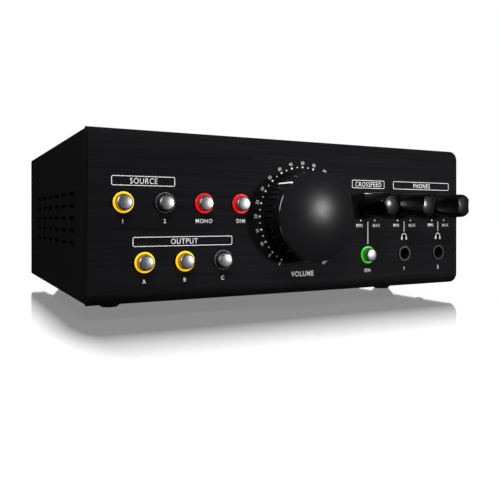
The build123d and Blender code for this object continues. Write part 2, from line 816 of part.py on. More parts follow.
def volume_knob():
    hub_from = pot_bushing_proud + bushing_room
    cavity_r = knob_r - knob_wall
    cavity_top = knob_h - knob_roof
    shape = volume_shape()
    knob = shape
    for i in range(rib_count):
        turn = Rot(0, 0, (i + 0.5) * 360 / rib_count)
        cut = Pos(0, knob_r + rib_cut_r - rib_depth, 0) * rod(rib_cut_r, 0, skirt_end)
        knob = knob - turn * cut
    knob = knob - rod(cavity_r, 0, hub_from)
    knob = knob - (rod(cavity_r, hub_from - over, cavity_top) - rod(hub_r, hub_from - over, cavity_top))
    knob = knob - shaft_socket(shaft_end, pot_bushing_proud)
    line_r = knob_r - pointer_sink
    pointer, groove = pointer_line(shape, line_r, line_r, 2 * knob_gap, knob_h + over)
    nodes["volume_knob"] = on_front(knob - groove, 0, mid_z, knob_turn)
    nodes["volume_pointer"] = on_front(pointer, 0, mid_z, knob_turn)
    nodes["volume_shaft"] = on_front(shaft(shaft_end, pot_bushing_proud), 0, mid_z, knob_turn)
    pot = potentiometer(pot_w, pot_bushing_r, pot_bushing_proud)
    nodes["volume_potentiometer"] = on_front(pot, 0, mid_z)
    ring_nut = hex_nut(pot_nut_r, 0, pot_nut_t, pot_bushing_r + seat_gap)
    nodes["volume_potentiometer_nut"] = on_front(ring_nut, 0, mid_z)


def small_shape():
    """A small knob's outer form without its scoops."""
    side_end, crown = rounded_dome(small_front_r, small_h, small_dome, small_edge_r)
    return turned(
        Line((0, small_gap), (small_base_r, small_gap)),
        Line((small_base_r, small_gap), (small_front_r, side_end)),
        *crown,
        Line((0, small_h + small_dome), (0, small_gap)),
    )


def small_scoop(side):
    """The ring that hollows one side of a small knob: it bows in along the knob's height, and
    meets the front square."""
    run = small_base_r - scoop_waist
    rise = small_h - scoop_start
    bow_r = (rise**2 + run**2) / (2 * run)
    middle = (side * (scoop_waist + bow_r), 0, small_h)
    return Pos(*middle) * Rot(90, 0, 0) * Torus(bow_r - scoop_r, scoop_r)


def small_knob(shape):
    knob = shape - small_scoop(-1) - small_scoop(1)
    knob = knob - rod(small_base_r - small_wall, 0, small_bushing_proud + bushing_room)
    return knob - shaft_socket(small_shaft_end, small_bushing_proud)


def small_knobs():
    shape = small_shape()
    pointer, groove = pointer_line(shape, small_base_r - pointer_sink,
                                   small_front_r - small_front_sink, 2 * small_gap, small_h + over)
    knob = small_knob(shape) - groove
    small_shaft = shaft(small_shaft_end, small_bushing_proud)
    for name, x, turn in zip(small_name, small_x, small_turns):
        nodes[name + "_knob"] = on_front(knob, x, row_1_z, turn)
        nodes[name + "_pointer"] = on_front(pointer, x, row_1_z, turn)
        nodes[name + "_shaft"] = on_front(small_shaft, x, row_1_z, turn)
    pot = potentiometer(small_pot_w, small_bushing_r, small_bushing_proud)
    ring_nut = hex_nut(small_nut_r, 0, small_nut_t, small_bushing_r + seat_gap)
    nodes["small_potentiometers"] = together([on_front(pot, x, row_1_z) for x in small_x])
    nodes["small_potentiometer_nuts"] = together([
        on_front(ring_nut, x, row_1_z) for x in small_x])


# ---------------------------------------------------------------- sockets
def headphone_sockets():
    mouth = phones_nose_proud
    body = slab(phones_body_w, phones_body_h, mouth - plug_depth - jack_back_wall,
                -panel_wall - seat_gap)
    socket = body + rod(phones_nose_r, -panel_wall - over, mouth)
    socket = socket - rod(plug_bore_r, mouth - plug_depth, mouth + over)
    nodes["headphone_sockets"] = together([on_front(socket, x, z) for x, z in phones_place])


def rear_sockets():
    mouth = jack_mouth_d - rear_d
    stacks = []
    nuts = []
    for x in jack_x:
        stack = block(x - jack_body_w / 2, x + jack_body_w / 2, jack_back_d,
                      rear_inner_d - seat_gap, board_top, jack_high + jack_top_wall)
        for z in (jack_low, jack_high):
            stack = stack + on_rear(rod(jack_nose_r, -rear_t - over, mouth), x, z)
            stack = stack - on_rear(rod(plug_bore_r, mouth - plug_depth, mouth + over), x, z)
            nuts.append(on_rear(hex_nut(jack_nut_r, 0, jack_nut_t, jack_nose_r + seat_gap), x, z))
        stacks.append(stack)
    nodes["rear_sockets"] = together(stacks)
    nodes["rear_socket_nuts"] = together(nuts)


def usb_socket():
    shell = slab(usb_w, usb_h, usb_proud - usb_l, usb_proud)
    mouth = slab(usb_mouth_w, usb_mouth_h, usb_proud - usb_mouth_l, usb_proud + over)
    tongue = slab(usb_tongue_w, usb_tongue_h, usb_proud - usb_mouth_l - over,
                  usb_proud - usb_tongue_back)
    return on_rear(shell - mouth + tongue, usb_x, board_top + usb_h / 2)


def power_inlet():
    body = Pos(0, inlet_h / 2 - inlet_axis_z, 0) * slab(
        inlet_w, inlet_h, -rear_t - inlet_l, -rear_t - seat_gap)
    inlet = body + rod(inlet_nose_r, -rear_t - over, inlet_nose_l - rear_t)
    mouth = inlet_nose_l - rear_t
    inlet = inlet - rod(inlet_bore_r, mouth - inlet_bore_l, mouth + over)
    inlet = inlet + rod(inlet_pin_r, mouth - inlet_bore_l - over, mouth - over)
    return on_rear(inlet, inlet_x, board_top + inlet_axis_z)


def power_switch():
    """A rocker on two pins in a snap-in housing."""
    reach = hypot(rocker_half_h, rocker_face) + rocker_gap
    foot_reach = hypot(rocker_foot_half, rocker_foot) + rocker_gap
    cavity_w = rocker_w + 2 * rocker_gap
    housing = slab(power_body_w, power_body_h, -power_body_l, 0)
    housing = housing + slab(power_body_w + 2 * power_bezel_lip,
                             power_body_h + 2 * power_bezel_lip, seat_gap, power_bezel_t)
    housing = housing + slab(power_body_w, power_body_h, -over, over)
    housing = housing - slab(cavity_w, 2 * reach, -rocker_depth - foot_reach, power_bezel_t + over)
    pin_l = rocker_w + 2 * (rocker_gap + rocker_pin_bite)
    pivot = Pos(0, 0, -rocker_depth) * Rot(0, 90, 0)
    housing = housing - pivot * Cylinder(rocker_pin_r + running_gap, pin_l + rocker_gap)
    outline = Polyline((-rocker_half_h, rocker_face), (0, rocker_face - rocker_hollow_h),
                       (rocker_half_h, rocker_face), (rocker_half_h, 0),
                       (rocker_foot_half, -rocker_foot), (-rocker_foot_half, -rocker_foot),
                       (-rocker_half_h, 0), close=True)
    rocker = extrude(Plane.YZ.offset(-rocker_w / 2) * make_face(outline), rocker_w)
    rocker = Pos(0, 0, -rocker_depth) * Rot(rocker_tilt, 0, 0) * rocker
    rocker = rocker + pivot * Cylinder(rocker_pin_r, pin_l)
    nodes["power_switch_housing"] = on_rear(housing, power_x, mid_z)
    nodes["power_rocker"] = on_rear(rocker, power_x, mid_z)


# ---------------------------------------------------------------- build and write
nodes["front_panel"] = front_panel()
nodes["top_cover"] = top_cover()
nodes["base_tray"] = base_tray()
nodes["rear_panel"] = rear_panel()
for foot_name, (foot_x, foot_depth) in foot_place.items():
    nodes[foot_name] = foot(foot_x, foot_depth)
case_screws()
nodes["main_board"] = main_board()
board_fixings()
nodes["control_board"] = control_board()
control_fixings()
board_parts()
ribbon()
buttons()
volume_knob()
small_knobs()
headphone_sockets()
rear_sockets()
nodes["usb_socket"] = usb_socket()
nodes["power_inlet"] = power_inlet()
power_switch()

os.makedirs("parts", exist_ok=True)
for node_name, node_shape in nodes.items():
    export_step(node_shape, "parts/" + node_name + ".step")
print(len(nodes), "nodes; volume knob pivot", 0, front_y, under_z + mid_z)
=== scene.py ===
# The looks of a desk-top studio monitor controller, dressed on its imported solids: the
# camera and studio first, then each piece in the order that the unit is put together.
# Lengths are in metres. The front panel faces -Y, and +Z is up.
from math import atan2, cos, pi, radians, sin

import bpy
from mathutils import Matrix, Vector


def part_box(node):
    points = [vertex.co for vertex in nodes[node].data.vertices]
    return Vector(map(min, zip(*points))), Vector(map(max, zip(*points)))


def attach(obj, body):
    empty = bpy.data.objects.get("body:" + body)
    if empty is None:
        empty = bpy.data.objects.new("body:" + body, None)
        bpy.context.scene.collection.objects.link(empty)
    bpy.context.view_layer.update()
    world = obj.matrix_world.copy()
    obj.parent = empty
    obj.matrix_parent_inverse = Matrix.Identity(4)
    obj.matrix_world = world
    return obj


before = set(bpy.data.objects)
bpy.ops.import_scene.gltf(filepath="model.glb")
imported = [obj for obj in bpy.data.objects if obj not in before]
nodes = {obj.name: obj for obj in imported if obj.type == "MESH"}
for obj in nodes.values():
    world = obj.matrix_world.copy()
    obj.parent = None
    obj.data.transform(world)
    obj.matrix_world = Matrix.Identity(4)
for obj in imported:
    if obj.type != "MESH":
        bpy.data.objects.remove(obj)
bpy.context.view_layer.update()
mm = 0.001

# ---------------------------------------------------------------- camera
# A 42 mm lens on a full frame, level with the middle of the front panel and well to its
# left. The view is shifted instead of tilted, so upright edges stay upright.
camera_data = bpy.data.cameras.new("camera")
camera_data.sensor_width = 36
camera_data.lens = 42.26
camera_data.shift_x = 0.02
camera_data.shift_y = -0.063
camera_data.clip_start = 0.01
camera = bpy.data.objects.new("camera", camera_data)
camera.location = (-161.9 * mm, -323.05 * mm, 43.7 * mm)
camera.rotation_euler = (radians(90), 0, radians(-27.1))
bpy.context.scene.collection.objects.link(camera)
bpy.context.scene.camera = camera
bpy.context.scene.view_settings.view_transform = "Standard"


# ---------------------------------------------------------------- studio
# A dim room with a white sweep behind the unit. One round softbox stands low on the right
# for the glints. A wide panel above and another behind light the paint, and both are hidden
# from reflections. A card on the left shows in reflections alone, to shape the gloss.
unit_middle = Vector((0, -0.05, 0.045))


def linear(colour):
    """A colour written as sRGB hex, as the linear red, green, blue and alpha of a socket."""
    parts = [int(colour[i:i + 2], 16) / 255 for i in (1, 3, 5)]
    return tuple(c / 12.92 if c <= 0.04045 else ((c + 0.055) / 1.055) ** 2.4 for c in parts) + (1,)


def add_node(tree, kind, links=None, values=None, **settings):
    """Adds a node with its settings, its sockets' numbers and the outputs wired into it."""
    node = tree.nodes.new(kind)
    for name, value in settings.items():
        setattr(node, name, value)
    for socket, value in (values or {}).items():
        node.inputs[socket].default_value = value
    for socket, output in (links or {}).items():
        tree.links.new(output, node.inputs[socket])
    return node


def hang_light(name, shape, size, power, turn, rise, distance):
    """An area light aimed at the unit: turn is degrees to the right of straight in front."""
    lamp = bpy.data.lights.new(name, "AREA")
    lamp.shape = shape
    lamp.size = size
    lamp.energy = power
    aim = Vector((sin(radians(turn)) * cos(radians(rise)),
                  -cos(radians(turn)) * cos(radians(rise)), sin(radians(rise))))
    stand = bpy.data.objects.new(name, lamp)
    stand.location = unit_middle + distance * aim
    stand.rotation_euler = (-aim).to_track_quat("-Z", "Y").to_euler()
    bpy.context.scene.collection.objects.link(stand)
    return stand


# Each with its size in metres, power in watts, turn and rise in degrees, and distance.
hang_light("glint_softbox", "DISK", 0.12, 3.8, 34.5, 3.7, 1.0)
hang_light("upper_panel", "SQUARE", 0.35, 4.8, -22, 60, 0.65).visible_glossy = False
hang_light("left_card", "SQUARE", 0.5, 7.0, -88, 26, 1.0).visible_diffuse = False
hang_light("rear_fill", "SQUARE", 0.4, 8.0, 160, 30, 0.9).visible_glossy = False

world = bpy.data.worlds.new("studio")
bpy.context.scene.world = world
world.use_nodes = True
sky = world.node_tree
sky.nodes.clear()
room_glow = 0.12
dark_room = 0.02
sweep_turn = radians(45)        # from straight behind, to the right
sweep_half = radians(42)        # half of its full white
sweep_end = radians(48)         # where it has faded out
sweep_squash = 2.2              # it is wider than it is high
ray = add_node(sky, "ShaderNodeLightPath")
direction = add_node(sky, "ShaderNodeTexCoord")
raised = add_node(sky, "ShaderNodeVectorMath", {0: direction.outputs["Generated"]},
                  {1: (1, 1, sweep_squash)}, operation="MULTIPLY")
aimed = add_node(sky, "ShaderNodeVectorMath", {0: raised.outputs["Vector"]},
                 operation="NORMALIZE")
sweep = add_node(sky, "ShaderNodeVectorMath", {0: aimed.outputs["Vector"]},
                 {1: (sin(sweep_turn), cos(sweep_turn), 0)}, operation="DOT_PRODUCT")
sweep_edge = add_node(sky, "ShaderNodeMapRange", {"Value": sweep.outputs["Value"]},
                      {"From Min": cos(sweep_end), "From Max": cos(sweep_half),
                       "To Min": dark_room, "To Max": 1.0})
mirrored = add_node(sky, "ShaderNodeMath", {0: ray.outputs["Is Glossy Ray"],
                                            1: ray.outputs["Is Transmission Ray"]},
                    operation="MAXIMUM")
soft = add_node(sky, "ShaderNodeMix", {"Factor": mirrored.outputs[0],
                                       "B": sweep_edge.outputs["Result"]},
                {"A": room_glow}, data_type="FLOAT")
strength = add_node(sky, "ShaderNodeMix", {"Factor": ray.outputs["Is Camera Ray"],
                                           "A": soft.outputs["Result"]},
                    {"B": 1.0}, data_type="FLOAT")
glow = add_node(sky, "ShaderNodeBackground", {"Strength": strength.outputs["Result"]},
                {"Color": (1, 1, 1, 1)})
add_node(sky, "ShaderNodeOutputWorld", {"Surface": glow.outputs["Background"]})

# ---------------------------------------------------------------- floor
# Polished white acrylic sheet. It keeps a mirror image of what stands on it, which fades
# within a hand's width, and it runs out into the white sweep.
floor_w = 6
footprint = Vector((106.75, 85.0)) * mm
case_middle_y = 9 * mm
image_whole = 29 * mm           # the mirror image is whole up to here from the case,
image_end = 79 * mm             # and has faded out here
white_from = 0.2                # the floor turns to the sweep's white from here,
white_to = 0.7                  # up to here
glow_seen = 1.1                 # strength of the floor's own white to the camera,
glow_else = 0.03                # and to everything else
white_seen = 0.85               # share of that white in what the camera sees by the case,
white_mirrored = 0.95           # and in what glossy pieces mirror; the rest is lit as paint is
least_polish = 0.04             # reflectance of the sheet seen from straight above,
most_polish = 0.36              # and at the low angle where the image is strongest
image_share = 0.76              # of the light there
bpy.ops.object.select_all(action="DESELECT")
bpy.ops.mesh.primitive_plane_add(size=floor_w)
floor = bpy.context.object
floor.name = "floor"
acrylic = bpy.data.materials.new("polished_white_acrylic")
acrylic.use_nodes = True
tree = acrylic.node_tree
tree.nodes.clear()
place = add_node(tree, "ShaderNodeTexCoord")
centred = add_node(tree, "ShaderNodeVectorMath", {0: place.outputs["Object"]},
                   {1: (0, case_middle_y, 0)}, operation="SUBTRACT")
folded = add_node(tree, "ShaderNodeVectorMath", {0: centred.outputs["Vector"]},
                  operation="ABSOLUTE")
outside = add_node(tree, "ShaderNodeVectorMath", {0: folded.outputs["Vector"]},
                   {1: (footprint.x, footprint.y, 0)}, operation="SUBTRACT")
beyond = add_node(tree, "ShaderNodeVectorMath", {0: outside.outputs["Vector"]},
                  {1: (0, 0, 0)}, operation="MAXIMUM")
# Beside the left wall the floor is seen at a steep angle, so the image is kept shorter there.
side_squeeze = 3.7
squeezed = add_node(tree, "ShaderNodeVectorMath", {0: beyond.outputs["Vector"]},
                    {1: (side_squeeze, 1, 1)}, operation="MULTIPLY")
shade = add_node(tree, "ShaderNodeVectorMath", {0: squeezed.outputs["Vector"]},
                 operation="LENGTH")
away = add_node(tree, "ShaderNodeVectorMath", {0: beyond.outputs["Vector"]}, operation="LENGTH")
fade = add_node(tree, "ShaderNodeMapRange", {"Value": shade.outputs["Value"]},
                {"From Min": image_whole, "From Max": image_end, "To Min": 1.0, "To Max": 0.0})
grazing = add_node(tree, "ShaderNodeFresnel", values={"IOR": 1.5})
polish = add_node(tree, "ShaderNodeMapRange", {"Value": grazing.outputs[0]},
                  {"From Min": least_polish, "From Max": most_polish,
                   "To Min": 0.0, "To Max": image_share})
mirror_share = add_node(tree, "ShaderNodeMath", {0: fade.outputs["Result"],
                                                 1: polish.outputs["Result"]},
                        operation="MULTIPLY")
ray = add_node(tree, "ShaderNodeLightPath")
seen = add_node(tree, "ShaderNodeMix", {"Factor": ray.outputs["Is Camera Ray"]},
                {"A": linear("#303030"), "B": linear("#F2F2F2")}, data_type="RGBA")
lit = add_node(tree, "ShaderNodeBsdfDiffuse", {"Color": seen.outputs["Result"]})
mirrored = add_node(tree, "ShaderNodeMath", {0: ray.outputs["Is Glossy Ray"],
                                             1: ray.outputs["Is Transmission Ray"]},
                    operation="MAXIMUM")
glow = add_node(tree, "ShaderNodeMapRange", {"Value": ray.outputs["Is Camera Ray"]},
                {"To Min": glow_else, "To Max": glow_seen})
bright = add_node(tree, "ShaderNodeEmission", {"Strength": glow.outputs["Result"]},
                  {"Color": (1, 1, 1, 1)})
faint = add_node(tree, "ShaderNodeMath", {0: mirrored.outputs[0]}, {1: white_mirrored},
                 operation="MULTIPLY")
near_share = add_node(tree, "ShaderNodeMix", {"Factor": ray.outputs["Is Camera Ray"],
                                              "A": faint.outputs[0]},
                      {"B": white_seen}, data_type="FLOAT")
far = add_node(tree, "ShaderNodeMapRange", {"Value": away.outputs["Value"]},
               {"From Min": white_from, "From Max": white_to},
               interpolation_type="SMOOTHSTEP")
whole = add_node(tree, "ShaderNodeMath", {0: far.outputs["Result"],
                                          1: ray.outputs["Is Camera Ray"]}, operation="MULTIPLY")
white_share = add_node(tree, "ShaderNodeMath", {0: near_share.outputs["Result"],
                                                1: whole.outputs[0]}, operation="MAXIMUM")
white = add_node(tree, "ShaderNodeMixShader", {0: white_share.outputs[0],
                                               1: lit.outputs["BSDF"],
                                               2: bright.outputs["Emission"]})
mirror = add_node(tree, "ShaderNodeBsdfGlossy", values={"Color": (1, 1, 1, 1),
                                                        "Roughness": 0.06})
polished = add_node(tree, "ShaderNodeMixShader", {0: mirror_share.outputs[0],
                                                  1: white.outputs["Shader"],
                                                  2: mirror.outputs["BSDF"]})
add_node(tree, "ShaderNodeOutputMaterial", {"Surface": polished.outputs["Shader"]})
floor.data.materials.append(acrylic)


# ---------------------------------------------------------------- front panel
# A 6 mm aluminium extrusion, rounded along its top and bottom. It is brushed along its
# length, dyed black in the anodising bath, and screwed on from inside.
def new_finish(name, **values):
    """A material with one shader, whose sockets take these values; returned with its tree."""
    finish = bpy.data.materials.new(name)
    finish.use_nodes = True
    tree = finish.node_tree
    tree.nodes.clear()
    named = {key.replace("_", " "): value for key, value in values.items()}
    shader = add_node(tree, "ShaderNodeBsdfPrincipled", values=named)
    add_node(tree, "ShaderNodeOutputMaterial", {"Surface": shader.outputs["BSDF"]})
    return finish, tree, shader


def dress(finish, *names):
    """Gives CAD nodes their finish."""
    for name in names:
        slots = nodes[name].data.materials
        slots.clear()
        slots.append(finish)


# Black anodised aluminium, brushed: the dye leaves only a trace of the metal's own
# reflection. The brush marks, really 0.1 mm apart, are drawn 0.5 mm apart to show.
anodised, tree, shader = new_finish("black_anodised_brushed_aluminium", Metallic=0.4,
                                    Specular_IOR_Level=0.05, Anisotropic=0.5)
place = add_node(tree, "ShaderNodeTexCoord")
along = add_node(tree, "ShaderNodeMapping", {"Vector": place.outputs["Object"]},
                 {"Scale": (0.02, 1, 1)})
marks = add_node(tree, "ShaderNodeTexNoise", {"Vector": along.outputs["Vector"]},
                 {"Scale": 1 / (1.0 * mm), "Detail": 3.0, "Roughness": 0.65})
patches = add_node(tree, "ShaderNodeTexNoise", {"Vector": along.outputs["Vector"]},
                   {"Scale": 1 / (9 * mm), "Detail": 2.0})
tone = add_node(tree, "ShaderNodeMix", {"Factor": marks.outputs["Fac"]},
                {"A": linear("#070708"), "B": linear("#28282B")}, data_type="RGBA")
tree.links.new(tone.outputs["Result"], shader.inputs["Base Color"])
rough = add_node(tree, "ShaderNodeMapRange", {"Value": patches.outputs["Fac"]},
                 {"To Min": 0.55, "To Max": 0.7})
tree.links.new(rough.outputs["Result"], shader.inputs["Roughness"])
relief = add_node(tree, "ShaderNodeBump", {"Height": marks.outputs["Fac"]},
                  {"Strength": 0.3, "Distance": 0.03 * mm})
tree.links.new(relief.outputs["Normal"], shader.inputs["Normal"])
upright = add_node(tree, "ShaderNodeTangent", direction_type="RADIAL", axis="X")
tree.links.new(upright.outputs[0], shader.inputs["Tangent"])
dress(anodised, "front_panel")

# ---------------------------------------------------------------- cover, tray and rear panel
# Folded 1.5 mm steel sheet, powder coated and baked, then screwed together. The cover is
# one sheet for the top and both sides, with its vent slots punched before the folds.
powder, tree, shader = new_finish("black_powder_coated_steel", Roughness=0.7,
                                  Specular_IOR_Level=0.07)
place = add_node(tree, "ShaderNodeTexCoord")
# Orange peel: the melted powder flows into soft hills about 0.8 mm across.
hills = add_node(tree, "ShaderNodeTexNoise", {"Vector": place.outputs["Object"]},
                 {"Scale": 1 / (0.8 * mm), "Detail": 2.0, "Roughness": 0.5})
dust = add_node(tree, "ShaderNodeTexNoise", {"Vector": place.outputs["Object"]},
                {"Scale": 1 / (14 * mm), "Detail": 3.0})
tone = add_node(tree, "ShaderNodeMix", {"Factor": dust.outputs["Fac"]},
                {"A": linear("#131614"), "B": linear("#191C1A")}, data_type="RGBA")
tree.links.new(tone.outputs["Result"], shader.inputs["Base Color"])
relief = add_node(tree, "ShaderNodeBump", {"Height": hills.outputs["Fac"]},
                  {"Strength": 0.35, "Distance": 0.05 * mm})
tree.links.new(relief.outputs["Normal"], shader.inputs["Normal"])
dress(powder, "top_cover", "base_tray", "rear_panel")

# ---------------------------------------------------------------- feet
# Turned cones of black rubber, moulded with a spark-eroded skin, each held by a screw up
# into the tray.
rubber, tree, shader = new_finish("moulded_black_rubber", Roughness=0.75,
                                  Specular_IOR_Level=0.3)
place = add_node(tree, "ShaderNodeTexCoord")
# Spark-eroded mould skin: fine pits, drawn 0.3 mm apart.
pits = add_node(tree, "ShaderNodeTexNoise", {"Vector": place.outputs["Object"]},
                {"Scale": 1 / (0.3 * mm), "Detail": 2.0})
tone = add_node(tree, "ShaderNodeMix", {"Factor": pits.outputs["Fac"]},
                {"A": linear("#0C0C0D"), "B": linear("#19191A")}, data_type="RGBA")
tree.links.new(tone.outputs["Result"], shader.inputs["Base Color"])
relief = add_node(tree, "ShaderNodeBump", {"Height": pits.outputs["Fac"]},
                  {"Strength": 0.4, "Distance": 0.04 * mm})
tree.links.new(relief.outputs["Normal"], shader.inputs["Normal"])
dress(rubber, "foot_front_left", "foot_front_right", "foot_rear_left", "foot_rear_right")

# ---------------------------------------------------------------- screws and nuts
# Pressed steel. Those inside and in the feet are bright zinc plated, as are the cases of
# the potentiometers and the data socket. Those in the rear panel and the cover are blacked.
zinc, tree, shader = new_finish("bright_zinc_plated_steel", Metallic=1.0)
place = add_node(tree, "ShaderNodeTexCoord")
# Zinc crystals cloud the plating in patches about 1 mm across.
cloud = add_node(tree, "ShaderNodeTexNoise", {"Vector": place.outputs["Object"]},
                 {"Scale": 1 / (1.1 * mm), "Detail": 3.0})
tone = add_node(tree, "ShaderNodeMix", {"Factor": cloud.outputs["Fac"]},
                {"A": linear("#A8AAAC"), "B": linear("#D2D4D2")}, data_type="RGBA")
tree.links.new(tone.outputs["Result"], shader.inputs["Base Color"])
rough = add_node(tree, "ShaderNodeMapRange", {"Value": cloud.outputs["Fac"]},
                 {"To Min": 0.22, "To Max": 0.42})
tree.links.new(rough.outputs["Result"], shader.inputs["Roughness"])
dress(zinc, "front_panel_screws", "foot_screws", "board_screws", "control_board_screws",
      "volume_potentiometer", "volume_potentiometer_nut", "small_potentiometers",
      "small_potentiometer_nuts", "rear_socket_nuts", "usb_socket")

blacked, tree, shader = new_finish("blacked_steel", Metallic=0.8)
place = add_node(tree, "ShaderNodeTexCoord")
# The blacking is uneven, and the steel under it shows as grey specks.
specks = add_node(tree, "ShaderNodeTexNoise", {"Vector": place.outputs["Object"]},
                {"Scale": 1 / (0.5 * mm), "Detail": 4.0})
tone = add_node(tree, "ShaderNodeMix", {"Factor": specks.outputs["Fac"]},
                {"A": linear("#141414"), "B": linear("#343332")}, data_type="RGBA")
tree.links.new(tone.outputs["Result"], shader.inputs["Base Color"])
shader.inputs["Roughness"].default_value = 0.4
dress(blacked, "rear_panel_screws", "cover_screws")

# ---------------------------------------------------------------- boards
# Glass-fibre boards with green solder mask. The weave shows faintly through the mask,
# and tracks stand under it as slightly lighter lines.
mask, tree, shader = new_finish("green_solder_mask_board", Roughness=0.32,
                                Coat_Weight=0.4, Coat_Roughness=0.15)
place = add_node(tree, "ShaderNodeTexCoord")
weave = add_node(tree, "ShaderNodeTexWave", {"Vector": place.outputs["Object"]},
                 {"Scale": 0.3 / mm, "Distortion": 0.4})
tracks = add_node(tree, "ShaderNodeTexBrick", {"Vector": place.outputs["Object"]},
                  {"Scale": 1.0, "Brick Width": 14 * mm, "Row Height": 2.5 * mm,
                   "Mortar Size": 0.25 * mm, "Color1": linear("#0E5A34"),
                   "Color2": linear("#115E38"), "Mortar": linear("#2A8A57")})
tone = add_node(tree, "ShaderNodeMix", {"Factor": weave.outputs["Fac"],
                                        "A": tracks.outputs["Color"]},
                {"B": linear("#0B4C2C")}, data_type="RGBA")
tree.links.new(tone.outputs["Result"], shader.inputs["Base Color"])
dress(mask, "main_board", "control_board")

# Turned brass, for the standoffs and spacers: fine rings from the lathe tool.
brass, tree, shader = new_finish("turned_brass", Metallic=1.0, Roughness=0.28)
place = add_node(tree, "ShaderNodeTexCoord")
rings = add_node(tree, "ShaderNodeTexWave", {"Vector": place.outputs["Object"]},
                 {"Scale": 0.6 / mm, "Distortion": 1.0}, bands_direction="Z")
tone = add_node(tree, "ShaderNodeMix", {"Factor": rings.outputs["Fac"]},
                {"A": linear("#B58B45"), "B": linear("#D4AE66")}, data_type="RGBA")
tree.links.new(tone.outputs["Result"], shader.inputs["Base Color"])
dress(brass, "board_standoffs", "control_board_spacers")


# ---------------------------------------------------------------- parts on the boards
# Moulded and sleeved components, soldered down: white relay cases, black chips and
# headers, dark blue capacitor sleeves, an extruded heat sink and a grey flat cable.
def speckled(name, dark, light, grain, **values):
    """A moulded plastic whose colour wavers between two tones over patches of one grain."""
    finish, tree, shader = new_finish(name, **values)
    place = add_node(tree, "ShaderNodeTexCoord")
    patches = add_node(tree, "ShaderNodeTexNoise", {"Vector": place.outputs["Object"]},
                       {"Scale": 1 / grain, "Detail": 3.0})
    tone = add_node(tree, "ShaderNodeMix", {"Factor": patches.outputs["Fac"]},
                    {"A": linear(dark), "B": linear(light)}, data_type="RGBA")
    tree.links.new(tone.outputs["Result"], shader.inputs["Base Color"])
    relief = add_node(tree, "ShaderNodeBump", {"Height": patches.outputs["Fac"]},
                      {"Strength": 0.2, "Distance": 0.02 * mm})
    tree.links.new(relief.outputs["Normal"], shader.inputs["Normal"])
    return finish


relay_case = speckled("moulded_white_polyester", "#CFCBC0", "#DEDAD0", 0.8 * mm, Roughness=0.45)
epoxy = speckled("moulded_black_epoxy", "#101011", "#1C1C1E", 0.4 * mm, Roughness=0.5)
sleeve = speckled("shrunk_blue_vinyl_sleeve", "#131A33", "#1C2546", 2.0 * mm, Roughness=0.3)
ribbon = speckled("extruded_grey_vinyl", "#8C8C8C", "#A4A4A4", 1.3 * mm, Roughness=0.5)
dress(relay_case, "relays")
dress(epoxy, "amplifier_chips", "ribbon_headers", "button_switches")
dress(sleeve, "capacitors")
dress(ribbon, "ribbon_cable")

# Mill-finish aluminium: die lines run along the extrusion, and lathe rings round a shaft.
mill, tree, shader = new_finish("mill_finish_aluminium", Metallic=1.0, Roughness=0.34)
place = add_node(tree, "ShaderNodeTexCoord")
drawn = add_node(tree, "ShaderNodeMapping", {"Vector": place.outputs["Object"]},
                 {"Scale": (1, 1, 0.05)})
lines = add_node(tree, "ShaderNodeTexNoise", {"Vector": drawn.outputs["Vector"]},
                 {"Scale": 1 / (0.5 * mm), "Detail": 3.0})
tone = add_node(tree, "ShaderNodeMix", {"Factor": lines.outputs["Fac"]},
                {"A": linear("#9A9C9E"), "B": linear("#C6C8CA")}, data_type="RGBA")
tree.links.new(tone.outputs["Result"], shader.inputs["Base Color"])
dress(mill, "heat_sink", "volume_shaft", "crossfeed_shaft", "phones_1_shaft", "phones_2_shaft")


# ---------------------------------------------------------------- light rings
# Clear polycarbonate tubes pushed through the panel, each lit from a light on the board
# behind it. The polished front edge is brightest, and the wall inside falls away in depth.
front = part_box("front_panel")[0].y
ring_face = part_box("amber_light_rings")[0].y


def light_ring_finish(name, edge, depth, power):
    """edge is the colour at the front face, and depth the colour 1.6 mm behind it."""
    finish, tree, shader = new_finish(name, Roughness=0.16, IOR=1.58, Coat_Weight=0.5)
    place = add_node(tree, "ShaderNodeTexCoord")
    axes = add_node(tree, "ShaderNodeSeparateXYZ", {"Vector": place.outputs["Object"]})
    fall = add_node(tree, "ShaderNodeMapRange", {"Value": axes.outputs["Y"]},
                    {"From Min": ring_face + 0.05 * mm, "From Max": ring_face + 1.6 * mm})
    grain = add_node(tree, "ShaderNodeTexNoise", {"Vector": place.outputs["Object"]},
                     {"Scale": 1 / (1.2 * mm), "Detail": 2.0})
    uneven = add_node(tree, "ShaderNodeMapRange", {"Value": grain.outputs["Fac"]},
                      {"To Min": 0.85 * power, "To Max": 1.15 * power})
    tone = add_node(tree, "ShaderNodeMix", {"Factor": fall.outputs["Result"]},
                    {"A": linear(edge), "B": linear(depth)}, data_type="RGBA")
    tree.links.new(tone.outputs["Result"], shader.inputs["Base Color"])
    tree.links.new(tone.outputs["Result"], shader.inputs["Emission Color"])
    tree.links.new(uneven.outputs["Result"], shader.inputs["Emission Strength"])
    return finish


dress(light_ring_finish("amber_lit_polycarbonate", "#FFC61A", "#B04800", 0.9), "amber_light_rings")
dress(light_ring_finish("red_lit_polycarbonate", "#E8101A", "#8C0000", 0.9), "red_light_rings")
dress(light_ring_finish("green_lit_polycarbonate", "#2CC81E", "#064A06", 0.8), "green_light_ring")

